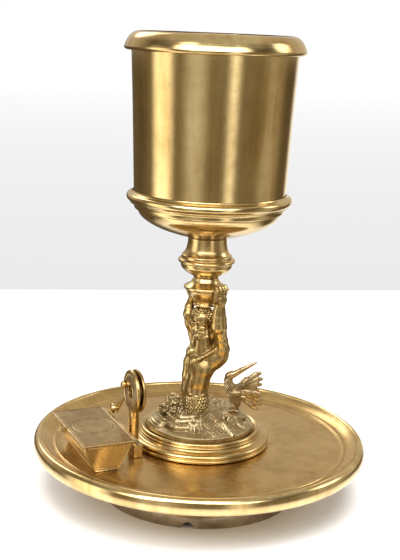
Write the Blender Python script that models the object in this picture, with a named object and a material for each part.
"""Brass figural stand: a tall cup carried by a merman on a round tray, with a match box and a cigar cutter.

Every size in this file is in millimetres; UNIT turns them into Blender's metres when a mesh is made.
+Z is up and the origin is the centre of the foot's resting plane. -Y is the front.
The column (plinth, mound, figure, stem and cup) stands on the Z axis. The match box and the cutter
share a small frame of their own on the tray, side_set, whose X runs across the box's lid towards the
cutter and whose Y runs along the lid.
"""

import math

import bmesh
import bpy
from mathutils import Matrix, Vector

UNIT = 0.001
GAP = 0.3  # left between pieces that touch

# ---- driving dimensions of the stand ----
TRAY_RADIUS = 140.0
TRAY_RIM_Z = 42.7  # height of the rim's widest circle
TRAY_FLOOR_Z = 43.7  # top of the tray's floor
TRAY_THICK = 2.6
FOOT_RADIUS = 82.7
FOOT_WALL = 2.4
NOTCH_RADIUS = 5.2
NOTCH_X = -6.5

PLINTH_RADIUS = 59.0
PLINTH_BEAD_RADIUS = 50.6
PLINTH_TOP_Z = 58.0
MOUND_RADIUS = 45.6

HEAD_TOP_Z = 161.0
CAP_BASE_Z = HEAD_TOP_Z + 0.6
CAP_FLANGE_Z = 177.3
KNOP_BASE_Z = 186.0
KNOP_WIDE_Z = 200.0
CUP_BASE_Z = 219.4  # where the cup's bowl meets the stem
CUP_RING_Z = 252.0  # widest circle of the ring round the bowl's top
CUP_RING_RADIUS = 67.4
CUP_WALL_BASE_Z = 258.0
CUP_WALL_TOP_Z = 370.0
CUP_BASE_RADIUS = 61.6
CUP_TOP_RADIUS = 66.4
CUP_WALL = 2.2
LIP_RADIUS = 72.2
LIP_TOP_Z = 382.0

STUD_RADIUS = 3.0
STUD_HOLE = 3.3

# ---- driving dimensions of the match box and the cutter ----
SET_X = -86.2
SET_Y = -46.8
SET_TURN = math.radians(24.8)
LID_LENGTH = 83.0
LID_WIDTH = 44.6
LID_THICK = 1.6
BOX_HEIGHT = 23.6
BOX_TOP_LENGTH = 77.0
BOX_TOP_WIDTH = 39.6
BOX_FOOT_LENGTH = 69.0
BOX_FOOT_WIDTH = 18.5
BOX_WALL = 1.4
HINGE_RADIUS = 1.9
HINGE_PIN_RADIUS = 0.8
CUTTER_X = 33.3
CUTTER_Y = -4.9
HEAD_RADIUS = 17.6
HEAD_THICK = 8.6
HEAD_CENTRE_Z = 53.2  # above the tray's floor
CIGAR_HOLE_RADIUS = 4.6
SLOT_WIDTH = 2.2
POST_WIDTH = 6.6
POST_DEPTH = 7.8
PIVOT_Y = 13.2  # from the head's centre, towards the back
PIVOT_Z = 1.5
PIVOT_RADIUS = 1.6

BOX_BOLT_Y = (-22.0, 22.0)
BOX_BOLT_RADIUS = 1.4
HINGE_X = LID_WIDTH / 2 + 1.0
HINGE_Z = BOX_HEIGHT - 0.9
KNUCKLE_SPANS = ((-38.6, -29.0), (29.0, 38.6))
LID_KNUCKLE_SPAN = (-28.6, 28.6)
POST_SCREW_Y = CUTTER_Y - 4.0
POST_SCREW_RADIUS = 1.6
SLOT_DEPTH = 14.6  # how far the blade slot reaches below the head's centre
BLADE_THICK = 1.4
BLADE_REACH = 17.4  # from the pivot
BLADE_EDGE_ANGLE = 209.0  # at rest, just below the cigar hole
BLADE_BACK_ANGLE = 240.0
ARM_LENGTH = 39.2
ARM_ANGLE = -48.6
ARM_HALF_HEIGHT = 2.6
BUTTON_RADIUS = 4.6

# ---- driving dimensions of the figures ----
FIGURE_FOOT_Z = 75.6
SHOULDER_RIGHT_X = -12.6
SHOULDER_LEFT_X = 15.4
BIRD_X = 29.5
BIRD_Y = -4.0
BIRD_FOOT_Z = 72.0
WING_THICK = 1.6

BRASS_POLISHED = ("brass_polished", (0.55, 0.39, 0.17), 0.2)
BRASS_CAST = ("brass_cast", (0.47, 0.33, 0.13), 0.34)
BRASS_DARK = ("brass_dark", (0.33, 0.24, 0.12), 0.42)
STEEL = ("steel", (0.42, 0.41, 0.39), 0.36)


def clear_scene():
    for obj in list(bpy.data.objects):
        bpy.data.objects.remove(obj)


def material(finish):
    name, colour, roughness = finish
    found = bpy.data.materials.get(name)
    if found:
        return found
    made = bpy.data.materials.new(name)
    made.use_nodes = True
    shader = made.node_tree.nodes["Principled BSDF"]
    shader.inputs["Base Color"].default_value = (*colour, 1.0)
    shader.inputs["Metallic"].default_value = 1.0
    shader.inputs["Roughness"].default_value = roughness
    return made


def empty(name, place, turn=0.0):
    obj = bpy.data.objects.new(name, None)
    bpy.context.scene.collection.objects.link(obj)
    obj.location = Vector(place) * UNIT
    obj.rotation_euler = (0.0, 0.0, turn)
    return obj


def finish_mesh(name, bm, finish, parent=None, place=(0, 0, 0), smooth=True):
    """Makes the object from a bmesh in millimetres and frees the bmesh."""
    bmesh.ops.remove_doubles(bm, verts=bm.verts, dist=0.001)
    bmesh.ops.recalc_face_normals(bm, faces=bm.faces)
    bm.transform(Matrix.Scale(UNIT, 4))
    mesh = bpy.data.meshes.new(name)
    bm.to_mesh(mesh)
    bm.free()
    mesh.materials.append(material(finish))
    if smooth:
        mesh.shade_smooth()
        mesh.set_sharp_from_angle(angle=math.radians(32))
    obj = bpy.data.objects.new(name, mesh)
    bpy.context.scene.collection.objects.link(obj)
    obj.parent = parent
    obj.location = Vector(place) * UNIT
    return obj


def arc(centre_r, centre_z, radius, start, end, steps):
    """Points on an arc, in degrees from the outward direction, upwards positive."""
    points = []
    for i in range(steps + 1):
        angle = math.radians(start + (end - start) * i / steps)
        points.append((centre_r + radius * math.cos(angle), centre_z + radius * math.sin(angle)))
    return points


def turned_bmesh(profile, segments):
    """Spins an outline of (radius, height) about Z. An outline off the axis is closed into a ring."""
    bm = bmesh.new()
    verts = [bm.verts.new((r, 0.0, z)) for r, z in profile]
    on_axis = profile[0][0] < 1e-6 and profile[-1][0] < 1e-6
    edges = [bm.edges.new(pair) for pair in zip(verts, verts[1:])]
    if not on_axis:
        edges.append(bm.edges.new((verts[-1], verts[0])))
    bmesh.ops.spin(
        bm, geom=verts + edges, cent=(0, 0, 0), axis=(0, 0, 1),
        angle=2 * math.pi, steps=segments, use_merge=True,
    )
    return bm


def turned(name, profile, segments, finish, parent=None, place=(0, 0, 0)):
    return finish_mesh(name, turned_bmesh(profile, segments), finish, parent, place)


def add_box(bm, low, high):
    """Adds an axis-aligned box and returns its vertices."""
    size = Vector(high) - Vector(low)
    centre = (Vector(high) + Vector(low)) / 2
    matrix = Matrix.Translation(centre) @ Matrix.Diagonal((*size, 1.0))
    return bmesh.ops.create_cube(bm, size=1.0, matrix=matrix)["verts"]


def add_rod(bm, start, end, radius, segments=20, end_radius=None):
    """Adds a capped round rod, or a cone, from start to end."""
    start, end = Vector(start), Vector(end)
    along = end - start
    turn = along.to_track_quat("Z", "Y").to_matrix().to_4x4()
    matrix = Matrix.Translation((start + end) / 2) @ turn
    far = radius if end_radius is None else end_radius
    return bmesh.ops.create_cone(
        bm, cap_ends=True, segments=segments, radius1=radius, radius2=far,
        depth=along.length, matrix=matrix,
    )["verts"]


def add_ball(bm, centre, radii, turn=(0, 0, 0)):
    """Adds an ellipsoid with its three half-sizes, turned by Euler degrees."""
    rotation = Matrix.Rotation(math.radians(turn[2]), 4, "Z")
    rotation @= Matrix.Rotation(math.radians(turn[1]), 4, "Y")
    rotation @= Matrix.Rotation(math.radians(turn[0]), 4, "X")
    matrix = Matrix.Translation(centre) @ rotation @ Matrix.Diagonal((*radii, 1.0))
    bmesh.ops.create_uvsphere(bm, u_segments=16, v_segments=10, radius=1.0, matrix=matrix)


def add_limb(bm, points):
    """Adds a chain of tapering rods with round joints through (x, y, z, radius) points."""
    for x, y, z, radius in points:
        add_ball(bm, (x, y, z), (radius, radius, radius))
    for a, b in zip(points, points[1:]):
        add_rod(bm, a[:3], b[:3], a[3], 14, b[3])


def boolean(obj, cutter_bmesh, name, operation="DIFFERENCE"):
    """Cuts or joins with a hidden helper made from a bmesh in millimetres, placed as obj is."""
    helper = finish_mesh(name, cutter_bmesh, BRASS_CAST, obj.parent, smooth=False)
    helper.location = obj.location
    helper.rotation_euler = obj.rotation_euler
    helper.hide_render = True
    helper.display_type = "WIRE"
    modifier = obj.modifiers.new(name, "BOOLEAN")
    modifier.object = helper
    modifier.operation = operation
    modifier.solver = "EXACT"


def cast(name, bm, finish, voxel, keep, parent=None, place=(0, 0, 0)):
    """One casting from overlapping balls, limbs and rods, melted together and thinned to a plain solid."""
    obj = finish_mesh(name, bm, finish, parent, place)
    melt = obj.modifiers.new("melt", "REMESH")
    melt.mode = "VOXEL"
    melt.voxel_size = voxel * UNIT
    thin = obj.modifiers.new("thin", "DECIMATE")
    thin.ratio = keep
    return obj


# ---------------------------------------------------------------- tray, foot and plinth


def foot_ring():
    """Spun skirt under the tray, with an inward flange for its screws and one half-round notch."""
    top = TRAY_FLOOR_Z - TRAY_THICK - GAP
    profile = [
        (FOOT_RADIUS - FOOT_WALL, 0.0),
        (FOOT_RADIUS, 0.0),
        (FOOT_RADIUS, 9.0),
        (FOOT_RADIUS - 1.4, 11.0),
        (FOOT_RADIUS - 2.6, 22.0),
        (FOOT_RADIUS - 1.4, top),
        (FOOT_RADIUS - 13.4, top),
        (FOOT_RADIUS - 13.4, top - 2.0),
        (FOOT_RADIUS - 5.2, top - 2.0),
        (FOOT_RADIUS - 5.2, 11.0),
        (FOOT_RADIUS - FOOT_WALL, 9.0),
    ]
    obj = turned("foot_ring", profile, 48, BRASS_DARK)
    notch = bmesh.new()
    add_rod(notch, (NOTCH_X, -FOOT_RADIUS - 8, 0), (NOTCH_X, -FOOT_RADIUS + 14, 0), NOTCH_RADIUS, 20)
    boolean(obj, notch, "foot_notch")
    holes = bmesh.new()
    for x, y in foot_screw_places():
        add_rod(holes, (x, y, top - 6), (x, y, top + 4), 1.9, 14)
    boolean(obj, holes, "foot_screw_holes")
    return obj


def foot_screw_places():
    radius = FOOT_RADIUS - 9.2
    turns = [math.radians(90 + 120 * i) for i in range(3)]
    return [(radius * math.cos(t), radius * math.sin(t)) for t in turns]


def tray():
    """Round dish: flat floor, a small bead, a hollow band, a groove and a rolled rim."""
    under = TRAY_FLOOR_Z - TRAY_THICK
    floor, edge = TRAY_FLOOR_Z, TRAY_RADIUS
    profile = [(STUD_HOLE + 0.9, under), (STUD_HOLE + 0.9, floor), (edge - 28.0, floor)]
    profile += [(edge - 23.0, floor - 0.4), (edge - 19.2, floor), (edge - 18.4, floor + 0.8)]
    profile += [(edge - 16.8, floor + 0.8), (edge - 15.6, floor + 0.4), (edge - 12.4, floor + 1.3)]
    profile += [(edge - 9.4, floor + 3.0), (edge - 7.4, floor + 4.5), (edge - 6.9, floor + 4.2)]
    profile += [(edge - 6.2, floor + 5.2), (edge - 4.4, floor + 6.1), (edge - 2.4, floor + 5.2)]
    profile += [(edge - 0.7, floor + 2.9), (edge, TRAY_RIM_Z + 0.5), (edge - 0.4, TRAY_RIM_Z - 2.7)]
    profile += [(edge - 2.0, TRAY_RIM_Z - 5.5), (edge - 4.6, TRAY_RIM_Z - 7.0), (edge - 7.4, TRAY_RIM_Z - 7.1)]
    profile += [(edge - 10.6, TRAY_RIM_Z - 5.6), (edge - 14.0, under - 0.6), (edge - 20.0, under)]
    obj = turned("tray", profile, 48, BRASS_POLISHED)
    holes = bmesh.new()
    depth = (TRAY_FLOOR_Z - 12, TRAY_FLOOR_Z + 6)
    for x, y in foot_screw_places():
        add_rod(holes, (x, y, depth[0]), (x, y, depth[1]), 1.5, 14)
    for x, y, radius in side_set_holes():
        add_rod(holes, (x, y, depth[0]), (x, y, depth[1]), radius, 14)
    boolean(obj, holes, "tray_holes")
    return obj


def side_set_point(x, y):
    """The tray position of a point in the side set's own frame."""
    cos, sin = math.cos(SET_TURN), math.sin(SET_TURN)
    return SET_X + x * cos - y * sin, SET_Y + x * sin + y * cos


def side_set_holes():
    holes = [(*side_set_point(0.0, y), BOX_BOLT_RADIUS + 0.3) for y in BOX_BOLT_Y]
    holes.append((*side_set_point(CUTTER_X, POST_SCREW_Y), POST_SCREW_RADIUS + 0.3))
    return holes


def foot_screws():
    """Three screws from below, through the foot's flange into the tray."""
    top = TRAY_FLOOR_Z - TRAY_THICK - GAP
    profile = [(0, top + 2.2), (1.2, top + 2.2), (1.2, top - 2.3), (3.2, top - 2.3)]
    profile += [(2.6, top - 4.0), (0, top - 4.4)]
    for number, (x, y) in enumerate(foot_screw_places(), 1):
        turned(f"foot_screw_{number}", profile, 14, STEEL, place=(x, y, 0))


def plinth():
    """Turned socle, hollow below, with a recess on top for the mound."""
    base = TRAY_FLOOR_Z + GAP
    lower = base + 3.6
    top = PLINTH_TOP_Z
    profile = [(STUD_HOLE + 0.9, base), (11.0, base), (12.0, top - 5.2), (45.0, top - 5.2), (50.0, base)]
    profile += [(PLINTH_RADIUS - 1.6, base)]
    profile += arc(PLINTH_RADIUS - 3.3, lower, 3.3, -50, 80, 4)
    profile += [(54.6, base + 7.2), (54.0, base + 8.4), (51.0, base + 9.0), (49.4, base + 10.0)]
    profile += arc(PLINTH_BEAD_RADIUS - 2.0, top - 2.0, 2.0, -40, 90, 3)
    profile += [(MOUND_RADIUS + 0.6, top), (MOUND_RADIUS + GAP, top - 1.8), (STUD_HOLE + 0.9, top - 1.8)]
    return turned("plinth", profile, 40, BRASS_POLISHED)


# ---------------------------------------------------------------- cast sea base, merman and wading bird


def mound():
    """Low sea-washed rock that fills the plinth's recess and carries both figures on flat seats."""
    base = PLINTH_TOP_Z - 1.8 + GAP
    bm = turned_bmesh(
        [(0, base), (MOUND_RADIUS - 0.6, base), (MOUND_RADIUS - 0.6, base + 3.6), (40, base + 6.0)]
        + [(28, base + 10.5), (17, base + 17.0), (12, base + 21.5), (0, base + 22.0)], 40,
    )
    add_ball(bm, (-20, 4, base + 9), (13, 12, 10))
    add_ball(bm, (-13, -14, base + 8), (13, 9, 6), (0, 0, 20))
    add_ball(bm, (15, -16, base + 7), (13, 12, 6.5))
    add_ball(bm, (-2, 16, base + 8), (16, 14, 9))
    add_rod(bm, (BIRD_X, BIRD_Y, base), (BIRD_X, BIRD_Y, BIRD_FOOT_Z + 4), 10.0, 20, 7.0)
    obj = cast("mound", bm, BRASS_CAST, 1.6, 0.05)
    trim = bmesh.new()
    add_box(trim, (-70, -70, base - 20), (70, 70, base))
    boolean(obj, trim, "mound_foot_plane")
    seat = bmesh.new()
    add_box(seat, (-19, -30, FIGURE_FOOT_Z - GAP), (19, 40, FIGURE_FOOT_Z + 30))
    boolean(obj, seat, "mound_figure_seat")
    bird_seat = bmesh.new()
    add_box(bird_seat, (BIRD_X - 12, BIRD_Y - 20, BIRD_FOOT_Z - GAP), (90, 60, BIRD_FOOT_Z + 40))
    boolean(obj, bird_seat, "mound_bird_seat")
    bore = bmesh.new()
    add_rod(bore, (0, 0, base - 5), (0, 0, FIGURE_FOOT_Z + 20), STUD_HOLE, 16)
    boolean(obj, bore, "mound_bore")
    return obj


def merman_body():
    """Torso, head and the scaled tail down to the mound, in one casting."""
    bm = bmesh.new()
    add_rod(bm, (-4.4, -3.0, 74), (-4.6, -1.0, 90), 11.0, 20, 10.6)
    add_ball(bm, (-5.4, 0.5, 92), (11.6, 8.6, 9.0), (0, 4, 0))
    add_ball(bm, (-3.2, 0.0, 104), (12.8, 8.8, 11.0), (0, 12, 0))
    add_ball(bm, (2.0, -0.5, 114.5), (14.8, 9.2, 10.0), (0, 8, 0))
    add_ball(bm, (2.4, 0.0, 120.5), (15.4, 7.6, 6.6), (0, 2, 0))
    add_limb(bm, [(0.6, 0.0, 124, 7.0), (-1.4, -1.0, 136, 6.4)])
    add_ball(bm, (-1.8, -2.0, 148.6), (9.0, 9.8, 12.4), (0, 0, -28))
    add_ball(bm, (-4.8, -6.0, 140.0), (6.2, 6.0, 5.6))
    obj = cast("merman_body", bm, BRASS_CAST, 1.0, 0.06)
    for side, x in (("right", SHOULDER_RIGHT_X), ("left", SHOULDER_LEFT_X)):
        cut = bmesh.new()
        reach = -60 if side == "right" else 60
        low, high = sorted((x, x + reach))
        add_box(cut, (low, -40, 108.0), (high, 40, 200))
        boolean(obj, cut, f"merman_{side}_shoulder_plane")
    foot = bmesh.new()
    add_box(foot, (-60, -60, 0), (60, 60, FIGURE_FOOT_Z))
    boolean(obj, foot, "merman_foot_plane")
    crown = bmesh.new()
    add_box(crown, (-60, -60, HEAD_TOP_Z - 1.0), (60, 60, 240))
    boolean(obj, crown, "merman_crown_plane")
    stud = bmesh.new()
    add_rod(stud, (0, 0, HEAD_TOP_Z - 9), (0, 0, HEAD_TOP_Z + 9), STUD_HOLE, 16)
    boolean(obj, stud, "merman_stud_hole")
    bolt = bmesh.new()
    add_rod(bolt, (0, 0, 60), (0, 0, FIGURE_FOOT_Z + 11), STUD_HOLE, 16)
    boolean(obj, bolt, "merman_bolt_hole")
    return obj


def merman_right_arm():
    """Arm on the -X side: elbow out, hand behind the stem's cap."""
    bm = bmesh.new()
    add_limb(bm, [
        (-9.0, 1.0, 119.5, 5.0), (-14.4, 2.0, 124.0, 4.8), (-15.2, 2.5, 136.0, 4.0),
        (-15.2, 2.5, 149.5, 3.6), (-13.6, 5.8, 157.0, 3.0), (-11.6, 11.0, 164.0, 2.4),
    ])
    add_ball(bm, (-11.9, 13.4, 168.4), (2.6, 2.4, 4.2), (0, 20, 0))
    obj = cast("merman_right_arm", bm, BRASS_CAST, 0.8, 0.08)
    cut = bmesh.new()
    add_box(cut, (SHOULDER_RIGHT_X - GAP, -40, 100), (60, 40, 134))
    boolean(obj, cut, "right_arm_joint_plane")
    return obj


def merman_left_arm():
    """Arm on the +X side: raised beside the head, hand on the front of the cap's flange."""
    bm = bmesh.new()
    add_limb(bm, [
        (11.0, -0.5, 117.0, 6.0), (17.0, -2.0, 121.0, 5.6), (17.0, -4.6, 130.0, 5.0),
        (15.6, -7.6, 139.0, 4.4), (14.6, -8.8, 146.5, 5.5), (14.0, -9.8, 154.0, 4.9), (13.6, -10.6, 162.0, 3.6),
    ])
    add_ball(bm, (14.2, -12.0, 168.4), (4.0, 2.6, 5.4), (0, 6, 40))
    obj = cast("merman_left_arm", bm, BRASS_CAST, 0.8, 0.08)
    cut = bmesh.new()
    add_box(cut, (-60, -40, 100), (SHOULDER_LEFT_X + GAP, 40, 127.6))
    boolean(obj, cut, "left_arm_joint_plane")
    return obj


def bird_body():
    """Long-billed wading bird: legs and rock pad, body, raised neck and bill in one casting."""
    bm = bmesh.new()
    add_rod(bm, (BIRD_X, BIRD_Y, BIRD_FOOT_Z - 4), (BIRD_X + 0.6, BIRD_Y, BIRD_FOOT_Z + 9), 5.0, 14, 3.6)
    add_ball(bm, (BIRD_X + 0.6, BIRD_Y, BIRD_FOOT_Z + 12.6), (6.0, 5.2, 9.0), (0, -14, 0))
    add_limb(bm, [
        (BIRD_X - 1.5, BIRD_Y, BIRD_FOOT_Z + 18.6, 5.0), (BIRD_X - 5.8, BIRD_Y, BIRD_FOOT_Z + 24.0, 4.2),
        (BIRD_X - 7.0, BIRD_Y, BIRD_FOOT_Z + 28.6, 4.2), (BIRD_X - 4.8, BIRD_Y - 0.4, BIRD_FOOT_Z + 30.2, 3.6),
    ])
    beak_tip = (BIRD_X + 15.4, BIRD_Y - 2, BIRD_FOOT_Z + 43.6)
    add_rod(bm, (BIRD_X - 3.0, BIRD_Y - 0.4, BIRD_FOOT_Z + 30.6), beak_tip, 2.6, 12, 1.0)
    obj = cast("bird_body", bm, BRASS_CAST, 0.8, 0.08)
    cut = bmesh.new()
    add_box(cut, (-60, -60, 0), (90, 60, BIRD_FOOT_Z))
    boolean(obj, cut, "bird_foot_plane")
    return obj


def bird_wing(name, side, tip, low_tip):
    """A fan of flight feathers as one thin plate, soldered to the body's flank."""
    root_y = BIRD_Y + side * 5.6
    foot = BIRD_FOOT_Z
    outline = [
        (BIRD_X, root_y, foot + 20.6), (BIRD_X + 9.0, root_y + side * 1.4, foot + 24.6), tip,
        (tip[0] - 1.5, tip[1] + side * 0.6, (tip[2] + low_tip[2]) / 2), low_tip,
        (BIRD_X + 9.0, root_y + side * 1.0, foot + 9.6), (BIRD_X + 1.5, root_y, foot + 9.6),
    ]
    centre = sum((Vector(point) for point in outline), Vector()) / len(outline)
    bm = bmesh.new()
    rings = []
    for offset in (0.0, side * WING_THICK):
        ring = [bm.verts.new((x, y + offset, z)) for x, y, z in outline]
        hub = bm.verts.new(centre + Vector((0, offset, 0)))
        for a, b in zip(ring, ring[1:] + ring[:1]):
            bm.faces.new((a, b, hub))
        rings.append(ring)
    for i in range(len(outline)):
        j = (i + 1) % len(outline)
        bm.faces.new((rings[0][i], rings[0][j], rings[1][j], rings[1][i]))
    return finish_mesh(name, bm, BRASS_CAST, smooth=False)


# ---------------------------------------------------------------- stem and cup


def stem_cap():
    """Small turned capital on the merman's head: collar, bowl, flange and neck."""
    z = CAP_BASE_Z
    profile = [(STUD_HOLE, z), (9.4, z), (10.1, z + 1.0), (9.4, z + 2.0), (8.9, z + 2.9), (10.6, z + 5.1)]
    profile += [(13.4, z + 8.5), (15.0, z + 12.0), (15.6, CAP_FLANGE_Z - 1.9)]
    profile += arc(16.4, CAP_FLANGE_Z, 1.6, -60, 60, 4)
    profile += [(14.8, CAP_FLANGE_Z + 2.6), (12.0, CAP_FLANGE_Z + 4.8)]
    profile += [(10.1, KNOP_BASE_Z - GAP), (STUD_HOLE, KNOP_BASE_Z - GAP)]
    return turned("stem_cap", profile, 28, BRASS_POLISHED)


def stem_knop():
    """Turned knop between the cap and the cup: half-round bowl, ring and spreading neck."""
    z = KNOP_WIDE_Z
    profile = [(STUD_HOLE, KNOP_BASE_Z), (10.1, KNOP_BASE_Z), (12.9, KNOP_BASE_Z + 2.0)]
    profile += [(17.8, z - 8.4), (20.4, z - 5.6), (21.4, z - 3.4), (21.4, z - 2.0)]
    profile += arc(21.8, z, 1.7, -60, 60, 4)
    profile += [(20.6, z + 3.0), (20.2, z + 4.6), (18.8, z + 6.6), (17.2, z + 9.4), (16.3, z + 13.4)]
    profile += [(16.0, CUP_BASE_Z - GAP), (STUD_HOLE, CUP_BASE_Z - GAP)]
    return turned("stem_knop", profile, 32, BRASS_POLISHED)


def cup_base():
    """Cast bowl that closes the cup: domed underside, two steps, ring and a socket for the wall."""
    floor = CUP_BASE_Z + 6.0
    ring_r = CUP_RING_RADIUS - 3.4
    profile = [(STUD_HOLE, floor), (STUD_HOLE, CUP_BASE_Z), (16.6, CUP_BASE_Z)]
    rise = CUP_RING_Z - CUP_BASE_Z
    swell = [(20.6, 0.05), (29.0, 0.12), (41.0, 0.25), (50.0, 0.39), (55.4, 0.52), (58.2, 0.65)]
    swell += [(58.9, 0.7), (61.0, 0.73), (61.4, 0.8)]
    profile += [(radius, CUP_BASE_Z + rise * share) for radius, share in swell]
    profile += [(63.2, CUP_RING_Z - 4.2), (64.6, CUP_RING_Z - 3.2)]
    profile += arc(ring_r, CUP_RING_Z, 3.4, -50, 90, 4)
    profile += [(CUP_BASE_RADIUS + 0.9, CUP_RING_Z + 3.6), (CUP_BASE_RADIUS + GAP, CUP_RING_Z + 4.6)]
    profile += [(CUP_BASE_RADIUS + GAP, CUP_RING_Z - 2.0), (56.6, CUP_RING_Z - 2.0)]
    profile += [(54.4, CUP_RING_Z - 12.0), (46.0, CUP_BASE_Z + 16.6), (30.0, floor + 1.4)]
    profile += [(12.0, floor)]
    return turned("cup_base", profile, 40, BRASS_POLISHED)


def cup_wall_radius(z):
    """Outer radius of the slightly flared cup wall at a height."""
    share = (z - CUP_WALL_BASE_Z) / (CUP_WALL_TOP_Z - CUP_WALL_BASE_Z)
    return CUP_BASE_RADIUS + (CUP_TOP_RADIUS - CUP_BASE_RADIUS) * share


def cup_wall():
    """Drawn sheet sleeve, open at both ends and slightly wider at the top."""
    low = CUP_RING_Z - 2.0 + GAP
    profile = [
        (cup_wall_radius(CUP_WALL_BASE_Z) - 0.1, low),
        (CUP_BASE_RADIUS, CUP_WALL_BASE_Z),
        (CUP_TOP_RADIUS, CUP_WALL_TOP_Z),
        (CUP_TOP_RADIUS - CUP_WALL, CUP_WALL_TOP_Z),
        (CUP_BASE_RADIUS - CUP_WALL, CUP_WALL_BASE_Z),
        (CUP_BASE_RADIUS - CUP_WALL, low),
    ]
    return turned("cup_wall", profile, 48, BRASS_POLISHED)


def cup_lip():
    """Cast rolled lip that drops over the wall's top edge and overhangs it."""
    under = CUP_WALL_TOP_Z - 2.6
    outer = CUP_TOP_RADIUS + GAP
    inner = CUP_TOP_RADIUS - CUP_WALL - 2 * GAP
    profile = [(inner - 1.6, under - 2.0)] + [(inner, under - 2.0), (inner, CUP_WALL_TOP_Z + GAP)]
    profile += [(outer, CUP_WALL_TOP_Z + GAP), (outer, under), (LIP_RADIUS - 1.8, under)]
    profile += arc(LIP_RADIUS - 1.8, under + 1.8, 1.8, -70, 20, 3)
    profile += [(LIP_RADIUS - 1.0, under + 5.6), (LIP_RADIUS - 3.6, under + 9.6)]
    profile += [(LIP_RADIUS - 7.4, LIP_TOP_Z - 0.9), (LIP_RADIUS - 10.6, LIP_TOP_Z)]
    profile += [(inner - 2.6, LIP_TOP_Z - 1.6), (inner - 3.6, LIP_TOP_Z - 4.8), (inner - 2.4, under + 2.0)]
    return turned("cup_lip", profile, 44, BRASS_POLISHED)


def stem_stud():
    """Threaded stud from the merman's crown up through cap and knop into the cup."""
    bm = bmesh.new()
    add_rod(bm, (0, 0, HEAD_TOP_Z - 8.4), (0, 0, CUP_BASE_Z + 13.4), STUD_RADIUS, 16)
    return finish_mesh("stem_stud", bm, STEEL)


def ring_solid(name, z, inner, outer, height, sides, finish, place=(0, 0, 0), parent=None):
    """A washer, or a nut when it has six sides: its bore's flats keep the stated radius."""
    inner /= math.cos(math.pi / sides)
    profile = [(inner, z), (outer, z), (outer, z + height), (inner, z + height)]
    return turned(name, profile, sides, finish, parent, place)


def column_bolt():
    """Bolt from under the tray through plinth and mound into the merman's foot."""
    washer_base = TRAY_FLOOR_Z - TRAY_THICK - GAP - 1.6
    profile = [(0, FIGURE_FOOT_Z + 9.0), (STUD_RADIUS, FIGURE_FOOT_Z + 9.0)]
    profile += [(STUD_RADIUS, washer_base - GAP), (6.6, washer_base - GAP)]
    profile += [(6.6, washer_base - 5.2), (0, washer_base - 5.2)]
    return turned("column_bolt", profile, 12, STEEL)


# ---------------------------------------------------------------- match box


def tapered_tray(bm, low, high, length_low, width_low, length_high, width_high):
    """Adds a four-sided frustum between two heights and returns its vertices."""
    verts = add_box(bm, (-0.5, -0.5, low), (0.5, 0.5, high))
    for vert in verts:
        at_top = vert.co.z > (low + high) / 2
        vert.co.x *= width_high if at_top else width_low
        vert.co.y *= length_high if at_top else length_low
    return verts


def box_body(side_set):
    """Folded sheet trough with sloping sides and two hinge knuckles on its cutter side."""
    bm = bmesh.new()
    base = GAP
    tapered_tray(bm, base, BOX_HEIGHT, BOX_FOOT_LENGTH, BOX_FOOT_WIDTH, BOX_TOP_LENGTH, BOX_TOP_WIDTH)
    obj = finish_mesh("box_body", bm, BRASS_POLISHED, side_set, smooth=False)
    slope = (BOX_TOP_WIDTH - BOX_FOOT_WIDTH) / (BOX_HEIGHT - base)
    hollow = bmesh.new()
    floor = base + 1.6
    above = BOX_HEIGHT + 4.0
    tapered_tray(
        hollow, floor, above,
        BOX_FOOT_LENGTH - 2 * BOX_WALL, BOX_FOOT_WIDTH - 2 * BOX_WALL + slope * 1.6,
        BOX_TOP_LENGTH - 2 * BOX_WALL, BOX_TOP_WIDTH - 2 * BOX_WALL + slope * 4.0,
    )
    boolean(obj, hollow, "box_hollow")
    holes = bmesh.new()
    for y in BOX_BOLT_Y:
        add_rod(holes, (0, y, -6), (0, y, 8), BOX_BOLT_RADIUS + 0.3, 14)
    boolean(obj, holes, "box_bolt_holes")
    return obj


def hinge_knuckle(name, side_set, start, end):
    """One fixed knuckle with its strap, soldered to the outside of the box's upper edge."""
    bm = bmesh.new()
    add_rod(bm, (HINGE_X, start, HINGE_Z), (HINGE_X, end, HINGE_Z), HINGE_RADIUS, 18)
    obj = finish_mesh(name, bm, BRASS_POLISHED, side_set)
    strap = bmesh.new()
    wall = BOX_TOP_WIDTH / 2 + GAP
    add_box(strap, (wall, start, HINGE_Z - 1.6), (HINGE_X, end, HINGE_Z - 0.2))
    boolean(obj, strap, f"{name}_strap", "UNION")
    bore = bmesh.new()
    add_rod(bore, (HINGE_X, -60, HINGE_Z), (HINGE_X, 60, HINGE_Z), HINGE_PIN_RADIUS + 0.15, 14)
    boolean(obj, bore, f"{name}_bore")
    return obj


def hinge_pin(side_set):
    """Wire pin through all the knuckles, with a small head at its front end."""
    bm = bmesh.new()
    add_rod(bm, (HINGE_X, -39.6, HINGE_Z), (HINGE_X, 39.6, HINGE_Z), HINGE_PIN_RADIUS, 14)
    obj = finish_mesh("hinge_pin", bm, STEEL, side_set)
    head = bmesh.new()
    add_rod(head, (HINGE_X, -40.5, HINGE_Z), (HINGE_X, -39.1, HINGE_Z), 1.5, 14)
    boolean(obj, head, "hinge_pin_head", "UNION")
    return obj


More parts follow.
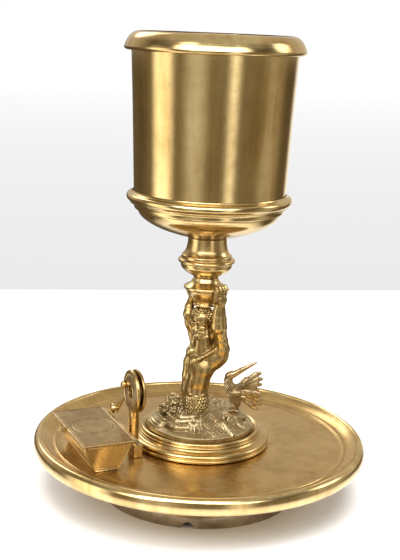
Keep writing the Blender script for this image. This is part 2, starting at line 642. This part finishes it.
def box_lid(side_set):
    """Flat lid plate with a thumb tab on its free edge and the hinge's long middle knuckle."""
    low = BOX_HEIGHT + GAP
    bm = bmesh.new()
    half_w, half_l = LID_WIDTH / 2, LID_LENGTH / 2
    add_box(bm, (-half_w, -half_l, low), (half_w, half_l, low + LID_THICK))
    obj = finish_mesh("box_lid", bm, BRASS_POLISHED, side_set, smooth=False)
    tab = bmesh.new()
    add_box(tab, (-half_w - 4.6, -4.5, low + 0.1), (-half_w + 1.0, 4.5, low + LID_THICK - 0.1))
    boolean(obj, tab, "lid_tab", "UNION")
    knuckle = bmesh.new()
    start, end = LID_KNUCKLE_SPAN
    add_rod(knuckle, (HINGE_X, start, HINGE_Z), (HINGE_X, end, HINGE_Z), HINGE_RADIUS, 18)
    boolean(obj, knuckle, "lid_knuckle", "UNION")
    strap = bmesh.new()
    add_box(strap, (half_w - 2.0, start, low - 0.6), (HINGE_X, end, low + 0.7))
    boolean(obj, strap, "lid_strap", "UNION")
    clear = bmesh.new()
    for side in (-1, 1):
        add_rod(
            clear, (HINGE_X, side * (end + GAP), HINGE_Z), (HINGE_X, side * (half_l - 2.0), HINGE_Z),
            HINGE_RADIUS + 0.5, 18,
        )
    boolean(obj, clear, "lid_knuckle_clearance")
    bore = bmesh.new()
    add_rod(bore, (HINGE_X, -60, HINGE_Z), (HINGE_X, 60, HINGE_Z), HINGE_PIN_RADIUS + 0.15, 14)
    boolean(obj, bore, "lid_bore")
    return obj


def box_bolt(name, side_set, y):
    """Round-headed bolt inside the box, through its floor and the tray."""
    head = 1.9
    tip = -TRAY_THICK - GAP - 3.2
    profile = [(0, head + 2.1), (1.9, head + 1.9), (2.8, head + 0.9), (2.8, head + GAP)]
    profile += [(BOX_BOLT_RADIUS, head + GAP), (BOX_BOLT_RADIUS, tip), (0, tip)]
    return turned(name, profile, 16, BRASS_DARK, side_set, (0, y, 0))


# ---------------------------------------------------------------- cigar cutter


def cutter_post(side_set):
    """Foot block, post and round head in one casting. The head has a blade slot open at top and back."""
    bm = bmesh.new()
    half = HEAD_THICK / 2
    face_a, face_b = CUTTER_X - half, CUTTER_X + half
    add_rod(bm, (face_a, CUTTER_Y, HEAD_CENTRE_Z), (face_b, CUTTER_Y, HEAD_CENTRE_Z), HEAD_RADIUS, 40)
    obj = finish_mesh("cutter_post", bm, BRASS_POLISHED, side_set)
    post = bmesh.new()
    half_w, half_d = POST_WIDTH / 2, POST_DEPTH / 2
    low = (CUTTER_X - half_w, CUTTER_Y - half_d, 4.0)
    add_box(post, low, (CUTTER_X + half_w, CUTTER_Y + half_d, HEAD_CENTRE_Z - 12))
    boolean(obj, post, "cutter_upright", "UNION")
    foot = bmesh.new()
    add_box(foot, (CUTTER_X - 3.6, CUTTER_Y - 12.4, GAP), (CUTTER_X + 3.6, CUTTER_Y + 2.0, 10.8))
    boolean(obj, foot, "cutter_foot", "UNION")
    slot = bmesh.new()
    add_box(
        slot, (CUTTER_X - SLOT_WIDTH / 2, CUTTER_Y - 30, HEAD_CENTRE_Z - SLOT_DEPTH),
        (CUTTER_X + SLOT_WIDTH / 2, CUTTER_Y + 30, HEAD_CENTRE_Z + 30),
    )
    boolean(obj, slot, "cutter_slot")
    holes = bmesh.new()
    left, right = CUTTER_X - 12, CUTTER_X + 12
    add_rod(holes, (left, CUTTER_Y, HEAD_CENTRE_Z), (right, CUTTER_Y, HEAD_CENTRE_Z), CIGAR_HOLE_RADIUS, 24)
    pivot_y, pivot_z = CUTTER_Y + PIVOT_Y, HEAD_CENTRE_Z + PIVOT_Z
    add_rod(holes, (left, pivot_y, pivot_z), (right, pivot_y, pivot_z), PIVOT_RADIUS + 0.15, 16)
    add_rod(holes, (CUTTER_X, POST_SCREW_Y, -8), (CUTTER_X, POST_SCREW_Y, 8.6), POST_SCREW_RADIUS + 0.3, 14)
    boolean(obj, holes, "cutter_holes")
    return obj


def cutter_lever(pivot):
    """Blade in the slot, ahead of the pivot, and the arm that leaves the slot behind it. Pivot frame."""
    half = BLADE_THICK / 2
    outline = [(BLADE_REACH * math.cos(math.radians(t)), BLADE_REACH * math.sin(math.radians(t)))
               for t in range(int(BLADE_EDGE_ANGLE), int(BLADE_BACK_ANGLE) + 1, 5)]
    outline += [(-2.0, -4.4), (2.0, -4.0), (4.0, 1.0), (1.0, 4.0), (-3.2, 2.4)]
    bm = bmesh.new()
    rings = [[bm.verts.new((x, y, z)) for y, z in outline] for x in (-half, half)]
    bm.faces.new(rings[0])
    bm.faces.new(rings[1][::-1])
    count = len(outline)
    for i in range(count):
        j = (i + 1) % count
        bm.faces.new((rings[0][i], rings[0][j], rings[1][j], rings[1][i]))
    obj = finish_mesh("cutter_lever", bm, STEEL, pivot, smooth=False)
    arm = bmesh.new()
    low = (-half + 0.05, 1.0, -ARM_HALF_HEIGHT)
    verts = add_box(arm, low, (half - 0.05, ARM_LENGTH + 3.0, ARM_HALF_HEIGHT))
    bmesh.ops.transform(arm, matrix=Matrix.Rotation(math.radians(ARM_ANGLE), 4, "X"), verts=verts)
    boolean(obj, arm, "lever_arm", "UNION")
    bore = bmesh.new()
    add_rod(bore, (-6, 0, 0), (6, 0, 0), PIVOT_RADIUS + 0.15, 16)
    end = arm_end()
    add_rod(bore, (-6, end.y, end.z), (6, end.y, end.z), 1.3 + 0.1, 14)
    boolean(obj, bore, "lever_bores")
    return obj


def arm_end():
    angle = math.radians(ARM_ANGLE)
    return Vector((0, ARM_LENGTH * math.cos(angle), ARM_LENGTH * math.sin(angle)))


def thumb_button(pivot):
    """Domed button on the box side of the arm's end, with its rivet through the arm."""
    half = BLADE_THICK / 2
    start = half + GAP
    profile = [(0, -half - 0.9), (1.3, -half - 0.9), (1.3, start), (2.4, start), (2.6, start + 2.2)]
    profile += [(BUTTON_RADIUS - 0.4, start + 2.4), (BUTTON_RADIUS, start + 3.2)]
    profile += [(BUTTON_RADIUS - 0.6, start + 4.2), (BUTTON_RADIUS - 2.2, start + 5.1), (0, start + 5.6)]
    bm = turned_bmesh(profile, 22)
    bm.transform(Matrix.Rotation(math.radians(-90), 4, "Y"))
    return finish_mesh("thumb_button", bm, BRASS_POLISHED, pivot, arm_end())


def pivot_screw(side_set):
    """Shouldered screw through both cheeks, with a slotted round head on the box side."""
    half = HEAD_THICK / 2
    bm = turned_bmesh(
        [(0, -half + 0.4), (PIVOT_RADIUS, -half + 0.4), (PIVOT_RADIUS, half + GAP), (3.2, half + GAP)]
        + [(3.2, half + 1.6), (2.2, half + 2.4), (0, half + 2.5)], 16,
    )
    bm.transform(Matrix.Rotation(math.radians(-90), 4, "Y"))
    place = (CUTTER_X, CUTTER_Y + PIVOT_Y, HEAD_CENTRE_Z + PIVOT_Z)
    return finish_mesh("pivot_screw", bm, BRASS_POLISHED, side_set, place)


def return_spring(side_set):
    """Bent leaf spring on the back of the post, which the arm meets at the end of its stroke."""
    half = 1.0
    back = CUTTER_Y + POST_DEPTH / 2 + GAP
    path = [(back, 14.0), (back, 24.0), (back + 1.2, 28.4), (back + 3.0, 32.4), (back + 4.4, 36.0)]
    thick = 0.7
    bm = bmesh.new()
    rings = []
    for i, (y, z) in enumerate(path):
        before, after = path[max(i - 1, 0)], path[min(i + 1, len(path) - 1)]
        along = Vector((after[0] - before[0], after[1] - before[1])).normalized()
        ny, nz = along.y * thick, -along.x * thick
        ring = [(-half, y, z), (half, y, z), (half, y + ny, z + nz), (-half, y + ny, z + nz)]
        rings.append([bm.verts.new((CUTTER_X + x, yy, zz)) for x, yy, zz in ring])
    for a, b in zip(rings, rings[1:]):
        for i in range(4):
            j = (i + 1) % 4
            bm.faces.new((a[i], a[j], b[j], b[i]))
    bm.faces.new(rings[0])
    bm.faces.new(rings[-1][::-1])
    return finish_mesh("return_spring", bm, STEEL, side_set, smooth=False)


def build():
    clear_scene()
    foot_ring()
    tray()
    foot_screws()
    plinth()
    mound()
    merman_body()
    merman_right_arm()
    merman_left_arm()
    bird_body()
    near_tips = [(BIRD_X + 20.0, BIRD_Y - 9.5, BIRD_FOOT_Z + 18.0), (BIRD_X + 21.0, BIRD_Y - 8.5, BIRD_FOOT_Z + 8.4)]
    far_tips = [(BIRD_X + 22.5, BIRD_Y + 10.5, BIRD_FOOT_Z + 29.4), (BIRD_X + 20.0, BIRD_Y + 9.0, BIRD_FOOT_Z + 15.0)]
    bird_wing("bird_near_wing", -1, *near_tips)
    bird_wing("bird_far_wing", 1, *far_tips)
    stem_cap()
    stem_knop()
    cup_base()
    cup_wall()
    cup_lip()
    stem_stud()
    ring_solid("cup_washer", CUP_BASE_Z + 6.3, STUD_HOLE, 8.0, 1.2, 24, STEEL)
    ring_solid("cup_nut", CUP_BASE_Z + 7.8, STUD_HOLE, 6.0, 4.4, 6, STEEL)
    ring_solid("column_washer", TRAY_FLOOR_Z - TRAY_THICK - GAP - 1.6, STUD_HOLE, 11.0, 1.6, 24, STEEL)
    column_bolt()

    side_set = empty("side_set", (SET_X, SET_Y, TRAY_FLOOR_Z), SET_TURN)
    box_body(side_set)
    for name, (start, end) in zip(("front", "back"), KNUCKLE_SPANS):
        hinge_knuckle(f"{name}_knuckle", side_set, start, end)
    hinge_pin(side_set)
    box_lid(side_set)
    nut_top = -TRAY_THICK - GAP
    for name, y in zip(("front", "back"), BOX_BOLT_Y):
        box_bolt(f"{name}_box_bolt", side_set, y)
        ring_solid(
            f"{name}_box_nut", nut_top - 2.4, BOX_BOLT_RADIUS + 0.3, 3.0, 2.4, 6, STEEL, (0, y, 0), side_set
        )
    cutter_post(side_set)
    pivot = empty("cutter_pivot", (CUTTER_X, CUTTER_Y + PIVOT_Y, HEAD_CENTRE_Z + PIVOT_Z))
    pivot.parent = side_set
    cutter_lever(pivot)
    thumb_button(pivot)
    pivot_screw(side_set)
    return_spring(side_set)
    profile = [(0, 8.2), (POST_SCREW_RADIUS, 8.2), (POST_SCREW_RADIUS, nut_top)]
    profile += [(2.6, nut_top), (2.6, nut_top - 1.4), (1.8, nut_top - 2.4), (0, nut_top - 2.4)]
    turned("post_screw", profile, 14, STEEL, side_set, (CUTTER_X, POST_SCREW_Y, 0))


build()
